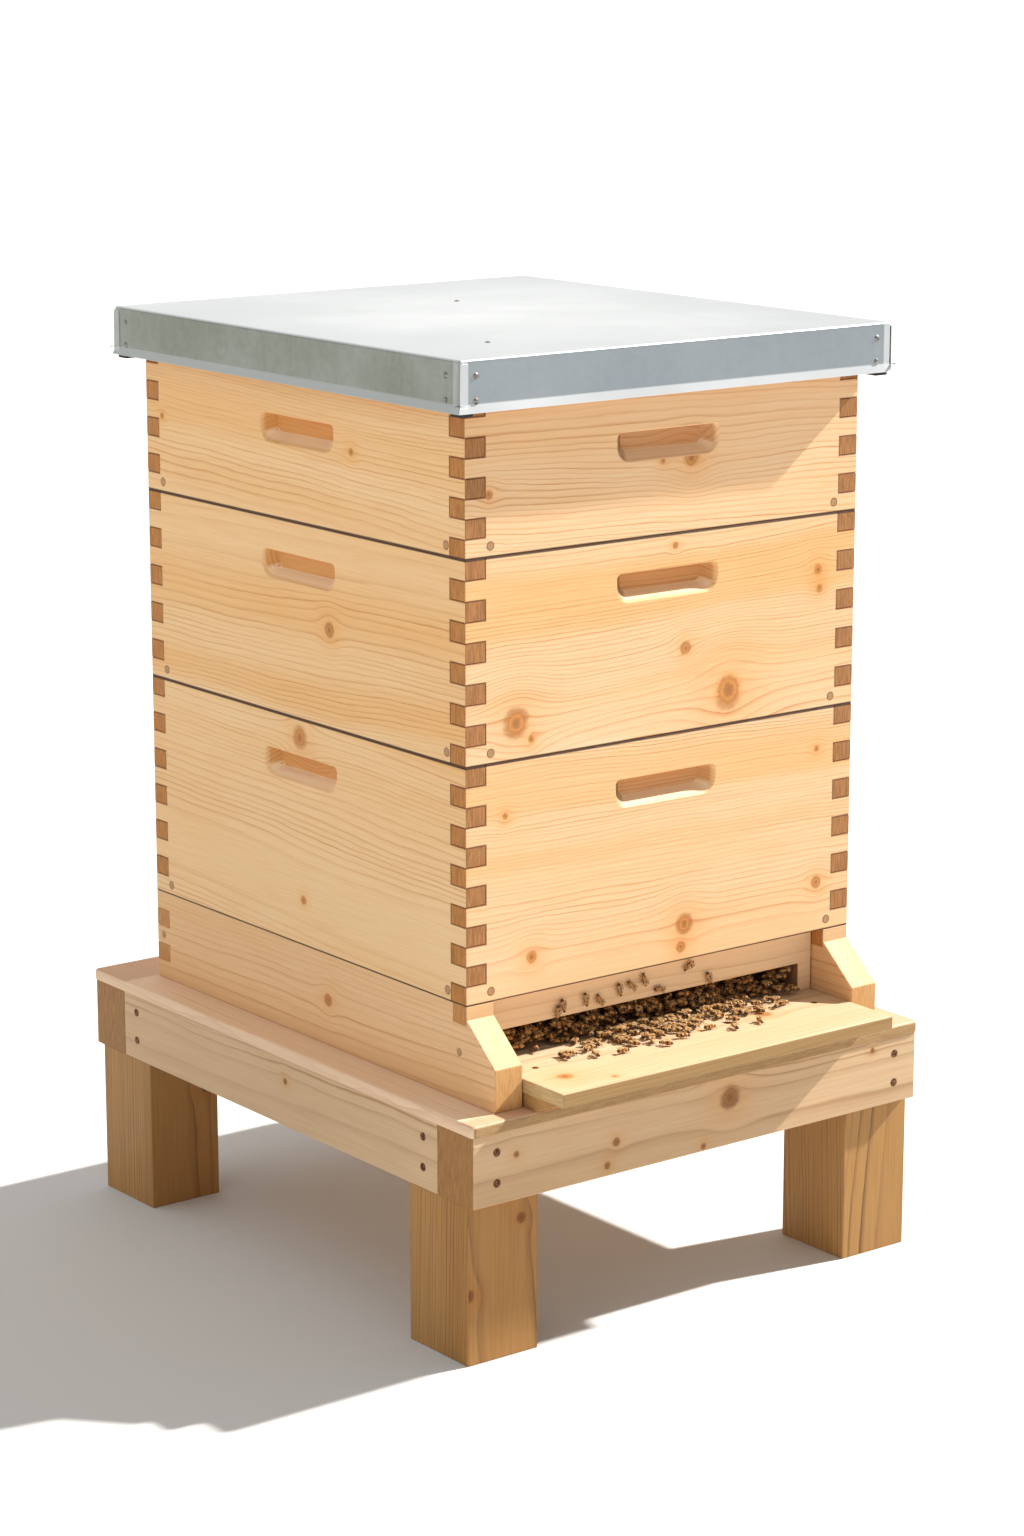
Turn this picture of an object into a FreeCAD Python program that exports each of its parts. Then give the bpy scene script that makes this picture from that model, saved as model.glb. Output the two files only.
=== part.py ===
import FreeCAD, Part
import math
import os
from FreeCAD import Vector

# A timber beehive on a low stand: three stacked finger-jointed boxes full of frames, an
# entrance floor with a landing board, an inner cover and a metal-clad outer cover.
# Millimetres, +Z up, the entrance faces -Y. The shapes are drawn about the hive's own centre
# line and moved once, on saving, so that the origin is the middle of the whole footprint.

# ---- Driving dimensions: the hive ----
HIVE_WIDTH = 413.0        # outside of the boxes, left to right (X)
HIVE_DEPTH = 465.0        # outside of the boxes, front to back (Y)
BOARD = 20.0              # thickness of a box board
LOWER_HEIGHT = 197.0
MIDDLE_HEIGHT = 167.0
SUPER_HEIGHT = 128.0
LOWER_FINGERS = 12        # fingers up each corner
MIDDLE_FINGERS = 10
SUPER_FINGERS = 8
LOWER_HOLD_DROP = 32.0    # from a box's top edge down to its hand hold
MIDDLE_HOLD_DROP = 28.0
SUPER_HOLD_DROP = 41.0

# ---- Driving dimensions: the stand ----
STAND_WIDTH = 480.0
STAND_DEPTH = 572.0
LEG_WIDTH = 71.0          # section of a leg, along X
LEG_DEPTH = 79.0          # section of a leg, along Y
LEG_INSET_X = 1.0         # leg faces behind the rail faces
LEG_INSET_Y = 9.0
LEG_HEIGHT = 136.0        # ground to the underside of the rails
RAIL_HEIGHT = 60.0
RAIL_THICKNESS = 48.0
DECK_THICKNESS = 10.0
DECK_LIP = 1.5            # deck past the rails
DECK_ROUND = 3.0
DECK_CORNER = 4.0

# ---- Driving dimensions: the floor and entrance ----
BASE_HEIGHT = 80.0
BASE_RAIL = 28.0          # thickness of the floor's side rails
BASE_FINGERS = 5
CHEEK_REACH = 38.0        # side rails past the front of the boxes
CHEEK_STEP = 11.0         # from the box bottom down to the start of the cheek's slope
CHEEK_FACE = 36.0         # height of the upright end of the cheek
FLOOR_LIFT = 12.0         # floor panel above the deck
FLOOR_THICKNESS = 12.0
GROOVE = 8.0              # depth of the grooves that hold the floor panel
LANDING_REACH = 90.5      # landing board past the front of the boxes
LANDING_BACK = 20.0       # landing board back under the front board
LANDING_ROUND = 1.5
LANDING_NAIL_PLACES = (0.3, 0.85)  # as fractions of the half width
BEARER_SET_BACK = 7.0     # bearer's tip behind the landing board's front edge
BEARER_INSET = 1.5        # bearer's ends in from the landing board's
KEY_HEIGHT = 16.0         # block let into each side rail's upper front corner
KEY_DEPTH = 18.0
ENTRANCE_HEIGHT = 25.0
ENTRANCE_FOOT = 15.0      # closed length at each end of the entrance
ENTRANCE_SET_BACK = 14.0  # entrance block behind the front of the boxes
ENTRANCE_BLOCK = 22.0     # thickness of the entrance block
BLOCK_SLACK = 0.75        # entrance block clear of the boards round it

# ---- Driving dimensions: frames ----
FRAME_COUNT = 10
FRAME_PITCH = 35.0
RABBET_WIDTH = 10.0
RABBET_DEPTH = 15.5
REST_THICKNESS = 1.0
LUG_THICKNESS = 9.0
LUG_END_GAP = 2.0
TOP_BAR_WIDTH = 27.0
TOP_BAR_KEEL = 10.0       # extra depth of the top bar between the end bars
END_BAR_THICKNESS = 9.0
END_BAR_WALL_GAP = 8.0
END_BAR_WIDTH = 34.6
END_BAR_WAIST = 27.0
END_BAR_SHOULDER = 45.0   # height of the wide, spacing part of the end bar
BOTTOM_BAR_WIDTH = 19.0
BOTTOM_BAR_HEIGHT = 9.0
FRAME_FLOOR_GAP = 4.0
COMB_THICKNESS = 24.0
COMB_CHAMFER = 3.0

# ---- Driving dimensions: covers ----
INNER_COVER_HEIGHT = 19.0
INNER_BATTEN = 22.0
INNER_PANEL = 6.0
INNER_GROOVE = 9.0
FEED_HOLE_LENGTH = 100.0
FEED_HOLE_WIDTH = 32.0
VENT_NOTCH_WIDTH = 60.0
VENT_NOTCH_HEIGHT = 6.0
COVER_GAP = 3.0           # outer cover's rim clear of the boxes
COVER_RIM = 15.0          # thickness of the wooden rim
RIM_SET_UP = 1.0          # rim's lower edge above the sheet's
COVER_BOARD = 12.0
COVER_PLANKS = 4
SHEET = 0.8
SKIRT_HEIGHT = 41.8
HEM_HEIGHT = 6.5
HEM_FLARE = 1.8           # how far the hem stands out at its lower edge
LAP_WIDTH = 8.0
SHEET_ROUND = 2.4
PAD_SIDE = 13.0
PAD_HEIGHT = 4.0
PAD_INSET = 1.0

# ---- Driving dimensions: hand holds and fasteners ----
HOLD_WIDTH = 107.0
HOLD_HEIGHT = 24.0
HOLD_DEPTH = 11.0
HOLD_END_SLOPE = 11.0     # how far the ends run in before full depth
HOLD_FLOOR_SLOPE = 8.0    # how far the lower edge rises before full depth
HOLD_ROOF_DROP = 0.5      # how far the roof comes down before full depth
HOLD_TOP_RADIUS = 5.0
HOLD_LOW_RADIUS = 13.0
PLUG_RADIUS = 3.1
PLUG_DEPTH = 12.0
PLUG_EDGE = 25.0          # plug centre in from the corner
PLUG_RISE = 9.0           # plug centre above the bottom of its box
SCREW_HEAD_RADIUS = 3.3
SCREW_HEAD_HEIGHT = 3.0
SCREW_RADIUS = 2.2
SCREW_LENGTH = 60.0
SCREW_LEVELS = (18.0, 44.0)   # above the underside of the rails
NAIL_HEAD_RADIUS = 2.6
NAIL_HEAD_HEIGHT = 1.0
NAIL_RADIUS = 1.3
DECK_NAIL = 20.0          # lengths of the nails
DECK_NAIL_PLACES = (0.17, 0.5)     # as fractions of the stand's half width
COVER_NAIL = 12.0
DOME_RADIUS = 2.8         # the domed heads of the cover's nails
DOME_HEIGHT = 1.1
COVER_NAIL_CORNERS = (16.0, 18.0)  # in from the corner: on the front and back, on the sides
COVER_NAIL_DROPS = (13.0, 32.5)    # down from the top of the cover
TOP_NAIL_PLACES = ((-0.60, -0.67), (0.15, 0.40))   # as fractions of the half sizes

# ---- Levels and edges worked out from them ----
RAIL_TOP = LEG_HEIGHT + RAIL_HEIGHT
DECK_TOP = RAIL_TOP + DECK_THICKNESS
BASE_TOP = DECK_TOP + BASE_HEIGHT
LOWER_TOP = BASE_TOP + LOWER_HEIGHT
MIDDLE_TOP = LOWER_TOP + MIDDLE_HEIGHT
SUPER_TOP = MIDDLE_TOP + SUPER_HEIGHT
INNER_TOP = SUPER_TOP + INNER_COVER_HEIGHT
COVER_TOP = INNER_TOP + COVER_BOARD + SHEET
HALF_W = HIVE_WIDTH / 2
HALF_D = HIVE_DEPTH / 2
INSIDE_W = HALF_W - BOARD
INSIDE_D = HALF_D - BOARD
BASE_INSIDE = HALF_W - BASE_RAIL
FLOOR_BOTTOM = DECK_TOP + FLOOR_LIFT
FLOOR_TOP = FLOOR_BOTTOM + FLOOR_THICKNESS
STAND_X = STAND_WIDTH / 2
STAND_Y = STAND_DEPTH / 2
COVER_IN_X = HALF_W + COVER_GAP
COVER_IN_Y = HALF_D + COVER_GAP
COVER_X = COVER_IN_X + COVER_RIM
COVER_Y = COVER_IN_Y + COVER_RIM
SKIRT_BOTTOM = COVER_TOP - SKIRT_HEIGHT
FRONT_EDGE = HALF_D + LANDING_REACH
REAR_EDGE = STAND_Y + DECK_LIP
ORIGIN_SHIFT = Vector(0, (FRONT_EDGE - REAR_EDGE) / 2, 0)

PLAY = 0.5                # loose fit of a panel in its grooves
NEAR = 1.0                # reach for picking the edges that lie on a face
X_AXIS = Vector(1, 0, 0)
Y_AXIS = Vector(0, 1, 0)
Z_AXIS = Vector(0, 0, 1)
CENTRE = Vector(0, 0, 0)


def block(x0, x1, y0, y1, z0, z1):
    """A box between two opposite corners, in any order."""
    low = Vector(min(x0, x1), min(y0, y1), min(z0, z1))
    return Part.makeBox(abs(x1 - x0), abs(y1 - y0), abs(z1 - z0), low)


def slab(half_x, half_y, z0, z1):
    """A box centred on the hive's centre line."""
    return block(-half_x, half_x, -half_y, half_y, z0, z1)


def rectangle(half_x, half_y, z):
    """A closed rectangular wire, level at z and centred on the hive's centre line."""
    corners = [Vector(-half_x, -half_y, z), Vector(half_x, -half_y, z), Vector(half_x, half_y, z),
               Vector(-half_x, half_y, z)]
    return Part.makePolygon(corners + corners[:1])


def flip_x(shape):
    return shape.mirror(CENTRE, X_AXIS)


def flip_y(shape):
    return shape.mirror(CENTRE, Y_AXIS)


def four_corners(shape):
    """The shape and its mirror images about the hive's two upright centre planes."""
    return [shape, flip_x(shape), flip_y(shape), flip_x(flip_y(shape))]


def headed(start, inward, head_radius, head_height, shank_radius, length):
    """A nail or screw whose flat head lies flush with the face it enters."""
    head = Part.makeCylinder(head_radius, head_height, start, inward)
    shank = Part.makeCylinder(shank_radius, length, start, inward)
    return head.fuse(shank).removeSplitter()


def screw(start, inward):
    return headed(start, inward, SCREW_HEAD_RADIUS, SCREW_HEAD_HEIGHT, SCREW_RADIUS, SCREW_LENGTH)


def nail(start, inward, length):
    return headed(start, inward, NAIL_HEAD_RADIUS, NAIL_HEAD_HEIGHT, NAIL_RADIUS, length)


def domed_nail(start, inward):
    """A nail with a domed head that stands proud of the face it enters."""
    ball_radius = (DOME_RADIUS ** 2 + DOME_HEIGHT ** 2) / (2 * DOME_HEIGHT)
    rim_angle = math.degrees(math.asin(1 - DOME_HEIGHT / ball_radius))
    middle = start + inward * (ball_radius - DOME_HEIGHT)
    dome = Part.makeSphere(ball_radius, middle, -inward, rim_angle, 90)
    return dome.fuse(Part.makeCylinder(NAIL_RADIUS, COVER_NAIL, start, inward)).removeSplitter()


def drilled(shape, fasteners):
    """The shape with a hole for each fastener that enters it."""
    return shape.cut([item for item in fasteners if shape.BoundBox.intersect(item.BoundBox)])


def fingers(x0, x1, y0, y1, z0, height, count, first):
    """Every other finger of a corner joint, from finger number first up."""
    pitch = height / count
    levels = [z0 + index * pitch for index in range(first, count, 2)]
    return [block(x0, x1, y0, y1, level, level + pitch) for level in levels]


# ---- Stand ----

def leg():
    """A leg that carries the rails on its shoulder and fills the corner between them."""
    x = -STAND_X + LEG_INSET_X
    y = -STAND_Y + LEG_INSET_Y
    post = block(x, x + LEG_WIDTH, y, y + LEG_DEPTH, 0, LEG_HEIGHT)
    inner_x = -STAND_X + RAIL_THICKNESS
    inner_y = -STAND_Y + RAIL_THICKNESS
    core = block(inner_x, x + LEG_WIDTH, inner_y, y + LEG_DEPTH, LEG_HEIGHT, RAIL_TOP)
    return post.fuse(core).removeSplitter()


def stand_screws():
    """Two screws through each end of every rail."""
    end_x = STAND_X - RAIL_THICKNESS / 2
    core_y = STAND_Y - (RAIL_THICKNESS + LEG_INSET_Y + LEG_DEPTH) / 2
    screws = []
    for rise in SCREW_LEVELS:
        level = LEG_HEIGHT + rise
        screws += four_corners(screw(Vector(-end_x, -STAND_Y, level), Y_AXIS))
        screws += four_corners(screw(Vector(-STAND_X, -core_y, level), X_AXIS))
    return screws


def deck_nails():
    """Nails through the deck's front and back edges into the rails."""
    nails = []
    for place in DECK_NAIL_PLACES:
        start = Vector(STAND_X * place, STAND_Y - RAIL_THICKNESS / 2, DECK_TOP)
        nails += four_corners(nail(start, -Z_AXIS, DECK_NAIL))
    return nails


def stand():
    screws = stand_screws()
    nails = deck_nails()
    legs = [drilled(item, screws) for item in four_corners(leg())]
    front = block(-STAND_X, STAND_X, -STAND_Y, -STAND_Y + RAIL_THICKNESS, LEG_HEIGHT, RAIL_TOP)
    side_y = STAND_Y - RAIL_THICKNESS
    left = block(-STAND_X, -STAND_X + RAIL_THICKNESS, -side_y, side_y, LEG_HEIGHT, RAIL_TOP)
    deck = slab(STAND_X + DECK_LIP, STAND_Y + DECK_LIP, RAIL_TOP, DECK_TOP)
    deck = deck.makeFillet(DECK_CORNER, [edge for edge in deck.Edges if edge.BoundBox.ZLength > NEAR])
    upper_edges = [edge for edge in deck.Edges if edge.BoundBox.ZMin > DECK_TOP - NEAR]
    deck = deck.makeFillet(DECK_ROUND, upper_edges)
    return {
        "leg_front_left": legs[0],
        "leg_front_right": legs[1],
        "leg_rear_left": legs[2],
        "leg_rear_right": legs[3],
        "stand_rail_front": drilled(front, screws + nails),
        "stand_rail_rear": drilled(flip_y(front), screws + nails),
        "stand_rail_left": drilled(left, screws),
        "stand_rail_right": drilled(flip_x(left), screws),
        "deck_board": drilled(deck, nails),
        "stand_screws": screws,
        "deck_nails": nails,
    }


# ---- Floor and entrance ----

def base_rail():
    """The floor's left side rail, whose front end is a sloped cheek."""
    front = -HALF_D
    tip = front - CHEEK_REACH
    outline = [
        (HALF_D, DECK_TOP), (HALF_D, BASE_TOP), (front, BASE_TOP), (front, BASE_TOP - CHEEK_STEP),
        (tip, DECK_TOP + CHEEK_FACE), (tip, DECK_TOP),
    ]
    points = [Vector(-HALF_W, y, z) for y, z in outline]
    face = Part.Face(Part.makePolygon(points + points[:1]))
    rail = face.extrude(X_AXIS * BASE_RAIL)
    rear_fingers = fingers(-HALF_W, -BASE_INSIDE, INSIDE_D, HALF_D, DECK_TOP, BASE_HEIGHT,
                           BASE_FINGERS, 1)
    return rail.cut(rear_fingers)


def base_rear_board():
    board = block(-HALF_W, HALF_W, INSIDE_D, HALF_D, DECK_TOP, BASE_TOP)
    gaps = fingers(-HALF_W, -BASE_INSIDE, INSIDE_D, HALF_D, DECK_TOP, BASE_HEIGHT, BASE_FINGERS, 0)
    return board.cut(gaps + [flip_x(gap) for gap in gaps])


def entrance_block():
    """A loose bar whose underside is cut away to leave the bees' entrance."""
    front = -HALF_D + ENTRANCE_SET_BACK
    half = BASE_INSIDE - BLOCK_SLACK
    bar = block(-half, half, front, front + ENTRANCE_BLOCK, FLOOR_TOP, BASE_TOP - BLOCK_SLACK)
    opening = half - ENTRANCE_FOOT
    slot = block(-opening, opening, front, front + ENTRANCE_BLOCK, FLOOR_TOP,
                 FLOOR_TOP + ENTRANCE_HEIGHT)
    return bar.cut(slot)


def landing_board():
    half = BASE_INSIDE - PLAY
    front = -FRONT_EDGE
    board = block(-half, half, front, -HALF_D + LANDING_BACK, FLOOR_BOTTOM, FLOOR_TOP)
    front_edges = [edge for edge in board.Edges if edge.BoundBox.YMax < front + NEAR
                   and edge.BoundBox.XLength > half]
    return board.makeFillet(LANDING_ROUND, front_edges)


def landing_bearer():
    """The wedge under the landing board, flat on the deck and sloping up past its edge."""
    half = BASE_INSIDE - BEARER_INSET
    outline = [
        (-HALF_D, DECK_TOP), (-HALF_D, FLOOR_BOTTOM), (BEARER_SET_BACK - FRONT_EDGE, FLOOR_BOTTOM),
        (-STAND_Y, DECK_TOP),
    ]
    points = [Vector(-half, y, z) for y, z in outline]
    return Part.Face(Part.makePolygon(points + points[:1])).extrude(X_AXIS * 2 * half)


def floor_and_entrance():
    panel_x = BASE_INSIDE + GROOVE
    panel_front = -HALF_D + LANDING_BACK
    groove = block(-panel_x, panel_x, panel_front, INSIDE_D + GROOVE, FLOOR_BOTTOM, FLOOR_TOP)
    panel = block(-panel_x + PLAY, panel_x - PLAY, panel_front, INSIDE_D + GROOVE - PLAY,
                  FLOOR_BOTTOM, FLOOR_TOP)
    bearer = landing_bearer()
    nails = []
    for place in LANDING_NAIL_PLACES:
        driven = nail(Vector(BASE_INSIDE * place, -HALF_D - BOARD, FLOOR_TOP), -Z_AXIS, DECK_NAIL)
        nails += [driven, flip_x(driven)]
    key = block(-HALF_W, -BASE_INSIDE, -HALF_D, -HALF_D + KEY_DEPTH, BASE_TOP - KEY_HEIGHT, BASE_TOP)
    plug_level = DECK_TOP + BASE_HEIGHT / 2
    plug = Part.makeCylinder(PLUG_RADIUS, PLUG_DEPTH, Vector(-HALF_W, -HALF_D + BOARD / 2, plug_level),
                             X_AXIS)
    plugs = four_corners(plug)
    left = base_rail().cut([groove, key])
    return {
        "base_rail_left": drilled(left, plugs),
        "base_rail_right": drilled(flip_x(left), plugs),
        "base_rear_board": drilled(base_rear_board().cut(groove), plugs),
        "floor_panel": panel,
        "landing_board": drilled(landing_board(), nails),
        "landing_board_bearer": drilled(bearer, nails),
        "landing_board_nails": nails,
        "base_plugs": plugs,
        "base_corner_keys": [key, flip_x(key)],
        "entrance_block": entrance_block(),
    }


# ---- Boxes ----

def hold_outline(y, half_width, z_low, z_high, low_radius, top_radius):
    """A wire with rounded corners in an upright plane facing -Y."""
    corner = 1 - math.cos(math.radians(45))   # the middle of a rounded corner
    points = []
    for side, z, radius in ((-1, z_high, top_radius), (1, z_high, top_radius),
                            (1, z_low, low_radius), (-1, z_low, low_radius)):
        x = side * half_width
        inward_z = -1 if z == z_high else 1
        on_side = Vector(x, y, z + inward_z * radius)
        on_flat = Vector(x - side * radius, y, z)
        middle = Vector(x - side * radius * corner, y, z + inward_z * radius * corner)
        ends = (on_side, middle, on_flat)
        clockwise = side * inward_z > 0
        points.append(ends if clockwise else ends[::-1])
    edges = []
    for index, (start, middle, end) in enumerate(points):
        edges.append(Part.Arc(start, middle, end).toShape())
        following = points[(index + 1) % len(points)][0]
        edges.append(Part.LineSegment(end, following).toShape())
    return Part.Wire(edges)


def hold_cutter(z_high):
    """The hand hold's hollow in the front board: square at the top, sloping out below."""
    half = HOLD_WIDTH / 2
    z_low = z_high - HOLD_HEIGHT
    mouth = hold_outline(-HALF_D, half, z_low, z_high, HOLD_LOW_RADIUS, HOLD_TOP_RADIUS)
    back = hold_outline(-HALF_D + HOLD_DEPTH, half - HOLD_END_SLOPE, z_low + HOLD_FLOOR_SLOPE,
                        z_high - HOLD_ROOF_DROP, HOLD_LOW_RADIUS / 2, HOLD_TOP_RADIUS / 2)
    return Part.makeLoft([mouth, back], True, True)


def side_hold_cutter(z_high):
    """The same hollow turned to the left side board."""
    cutter = hold_cutter(z_high)
    cutter.translate(Vector(0, HALF_D, 0))
    cutter.rotate(CENTRE, Z_AXIS, -90)
    cutter.translate(Vector(-HALF_W, 0, 0))
    return cutter


def box_plugs(z0):
    """Round wooden plugs near the bottom corners of the four boards."""
    level = z0 + PLUG_RISE
    front = Part.makeCylinder(PLUG_RADIUS, PLUG_DEPTH, Vector(-HALF_W + PLUG_EDGE, -HALF_D, level), Y_AXIS)
    side = Part.makeCylinder(PLUG_RADIUS, PLUG_DEPTH, Vector(-HALF_W, -HALF_D + PLUG_EDGE, level), X_AXIS)
    return four_corners(front) + four_corners(side)


def frame_rests(top):
    """Two steel strips in the rabbets, which the frames' lugs hang on."""
    level = top - RABBET_DEPTH
    rest = block(-INSIDE_W, INSIDE_W, -INSIDE_D - RABBET_WIDTH, -INSIDE_D, level, level + REST_THICKNESS)
    return [rest, flip_y(rest)]


def hive_box(name, z0, height, count, hold_drop):
    """Four finger-jointed boards; the front board starts at the bottom finger."""
    top = z0 + height
    plugs = box_plugs(z0)
    rabbet = block(-INSIDE_W, INSIDE_W, -INSIDE_D - RABBET_WIDTH, -INSIDE_D, top - RABBET_DEPTH, top)
    front = block(-HALF_W, HALF_W, -HALF_D, -INSIDE_D, z0, top)
    gaps = fingers(-HALF_W, -INSIDE_W, -HALF_D, -INSIDE_D, z0, height, count, 1)
    hold = hold_cutter(top - hold_drop)
    front_board = front.cut(gaps + [flip_x(gap) for gap in gaps] + [rabbet, hold])
    rear_gaps = fingers(-HALF_W, -INSIDE_W, INSIDE_D, HALF_D, z0, height, count, 0)
    rear_board = flip_y(front).cut(rear_gaps + [flip_x(gap) for gap in rear_gaps]
                                   + [flip_y(rabbet), flip_y(hold)])
    side = block(-HALF_W, -INSIDE_W, -HALF_D, HALF_D, z0, top)
    side_front_gaps = fingers(-HALF_W, -INSIDE_W, -HALF_D, -INSIDE_D, z0, height, count, 0)
    side_rear_gaps = fingers(-HALF_W, -INSIDE_W, INSIDE_D, HALF_D, z0, height, count, 1)
    left_board = side.cut(side_front_gaps + side_rear_gaps + [side_hold_cutter(top - hold_drop)])
    return {
        name + "_front_board": drilled(front_board, plugs),
        name + "_rear_board": drilled(rear_board, plugs),
        name + "_left_board": drilled(left_board, plugs),
        name + "_right_board": drilled(flip_x(left_board), plugs),
        name + "_frame_rests": frame_rests(top),
        name + "_corner_plugs": plugs,
    }


# ---- Frames ----

def end_bar(z0, z1):
    """The front end bar of a frame: wide shoulders above a narrower waist."""
    outer = -INSIDE_D + END_BAR_WALL_GAP
    wide = END_BAR_WIDTH / 2
    waist = END_BAR_WAIST / 2
    shoulder = z1 - END_BAR_SHOULDER
    taper = shoulder - (wide - waist)
    half = [(wide, z1), (wide, shoulder), (waist, taper), (waist, z0)]
    outline = half + [(-x, z) for x, z in reversed(half)]
    points = [Vector(x, outer, z) for x, z in outline]
    return Part.Face(Part.makePolygon(points + points[:1])).extrude(Y_AXIS * END_BAR_THICKNESS)


def top_bar(lug_bottom):
    lug_y = INSIDE_D + RABBET_WIDTH - LUG_END_GAP
    keel_y = INSIDE_D - END_BAR_WALL_GAP - END_BAR_THICKNESS
    half = TOP_BAR_WIDTH / 2
    upper = slab(half, lug_y, lug_bottom, lug_bottom + LUG_THICKNESS)
    keel = slab(half, keel_y, lug_bottom - TOP_BAR_KEEL, lug_bottom)
    return upper.fuse(keel).removeSplitter()


def comb(z0, z1):
    """The wax comb that fills a frame, with its upright corners taken off."""
    half_y = INSIDE_D - END_BAR_WALL_GAP - END_BAR_THICKNESS
    sheet = slab(COMB_THICKNESS / 2, half_y, z0, z1)
    long_edges = [edge for edge in sheet.Edges if edge.BoundBox.YLength > half_y]
    return sheet.makeChamfer(COMB_CHAMFER, long_edges)


def box_frames(name, z0, top):
    """Ten hanging frames, grouped by kind of piece."""
    lug_bottom = top - RABBET_DEPTH + REST_THICKNESS
    frame_bottom = z0 + FRAME_FLOOR_GAP
    half_y = INSIDE_D - END_BAR_WALL_GAP - END_BAR_THICKNESS
    front_bar = end_bar(frame_bottom, lug_bottom)
    bottom_bar = slab(BOTTOM_BAR_WIDTH / 2, half_y, frame_bottom, frame_bottom + BOTTOM_BAR_HEIGHT)
    pieces = {
        name + "_top_bars": [top_bar(lug_bottom)],
        name + "_end_bars": [front_bar, flip_y(front_bar)],
        name + "_bottom_bars": [bottom_bar],
        name + "_combs": [comb(frame_bottom + BOTTOM_BAR_HEIGHT, lug_bottom - TOP_BAR_KEEL)],
    }
    offsets = [(index - (FRAME_COUNT - 1) / 2) * FRAME_PITCH for index in range(FRAME_COUNT)]
    return {node: [shape.translated(Vector(x, 0, 0)) for x in offsets for shape in shapes]
            for node, shapes in pieces.items()}


# ---- Covers ----

def inner_cover():
    """A thin panel in a grooved rim, with a feed hole and a vent notch at the front."""
    panel_low = SUPER_TOP + (INNER_COVER_HEIGHT - INNER_PANEL) / 2
    panel_high = panel_low + INNER_PANEL
    in_x = HALF_W - INNER_BATTEN
    in_y = HALF_D - INNER_BATTEN
    groove = slab(in_x + INNER_GROOVE, in_y + INNER_GROOVE, panel_low, panel_high)
    panel = slab(in_x + INNER_GROOVE - PLAY, in_y + INNER_GROOVE - PLAY, panel_low, panel_high)
    radius = FEED_HOLE_WIDTH / 2
    straight = (FEED_HOLE_LENGTH - FEED_HOLE_WIDTH) / 2
    hole = slab(radius, straight, panel_low, panel_high)
    for y in (-straight, straight):
        hole = hole.fuse(Part.makeCylinder(radius, INNER_PANEL, Vector(0, y, panel_low)))
    front = block(-HALF_W, HALF_W, -HALF_D, -in_y, SUPER_TOP, INNER_TOP).cut(groove)
    notch = block(-VENT_NOTCH_WIDTH / 2, VENT_NOTCH_WIDTH / 2, -HALF_D, -in_y, SUPER_TOP,
                  SUPER_TOP + VENT_NOTCH_HEIGHT)
    side = block(-HALF_W, -in_x, -in_y, in_y, SUPER_TOP, INNER_TOP).cut(groove)
    return {
        "inner_cover_panel": panel.cut(hole.removeSplitter()),
        "inner_cover_end_battens": [front.cut(notch), flip_y(front)],
        "inner_cover_side_battens": [side, flip_x(side)],
    }


def cover_nails():
    """Nails through the skirt into the wooden rim near every corner, and two in the top."""
    face_x = COVER_X + SHEET
    face_y = COVER_Y + SHEET
    nails = [domed_nail(Vector(COVER_X * x, COVER_Y * y, COVER_TOP), -Z_AXIS)
             for x, y in TOP_NAIL_PLACES]
    for drop in COVER_NAIL_DROPS:
        level = COVER_TOP - drop
        end_place = Vector(-face_x + COVER_NAIL_CORNERS[0], -face_y, level)
        side_place = Vector(-face_x, -face_y + COVER_NAIL_CORNERS[1], level)
        nails += four_corners(domed_nail(end_place, Y_AXIS))
        nails += four_corners(domed_nail(side_place, X_AXIS))
    return nails


def cover_sheet():
    """A folded sheet cap: rounded edges, a flared hem and a lap at every corner."""
    out_x = COVER_X + SHEET
    out_y = COVER_Y + SHEET
    cap = slab(out_x, out_y, SKIRT_BOTTOM, COVER_TOP)
    upper_edges = [edge for edge in cap.Edges if edge.BoundBox.ZMax > COVER_TOP - NEAR]
    cap = cap.makeFillet(SHEET_ROUND, upper_edges)
    hem = Part.makeLoft([rectangle(out_x + HEM_FLARE, out_y + HEM_FLARE, SKIRT_BOTTOM),
                         rectangle(out_x, out_y, SKIRT_BOTTOM + HEM_HEIGHT)], True, True)
    lap_top = COVER_TOP - SHEET_ROUND - SHEET
    front_lap = block(-out_x, -out_x + LAP_WIDTH, -out_y - SHEET, -out_y, SKIRT_BOTTOM, lap_top)
    side_lap = block(-out_x - SHEET, -out_x, out_y, out_y - LAP_WIDTH, SKIRT_BOTTOM, lap_top)
    laps = [front_lap, front_lap.rotated(CENTRE, Z_AXIS, 180), side_lap,
            side_lap.rotated(CENTRE, Z_AXIS, 180)]
    inside = slab(COVER_X, COVER_Y, SKIRT_BOTTOM, COVER_TOP - SHEET)
    return cap.fuse([hem] + laps).cut(inside).removeSplitter()


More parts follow.
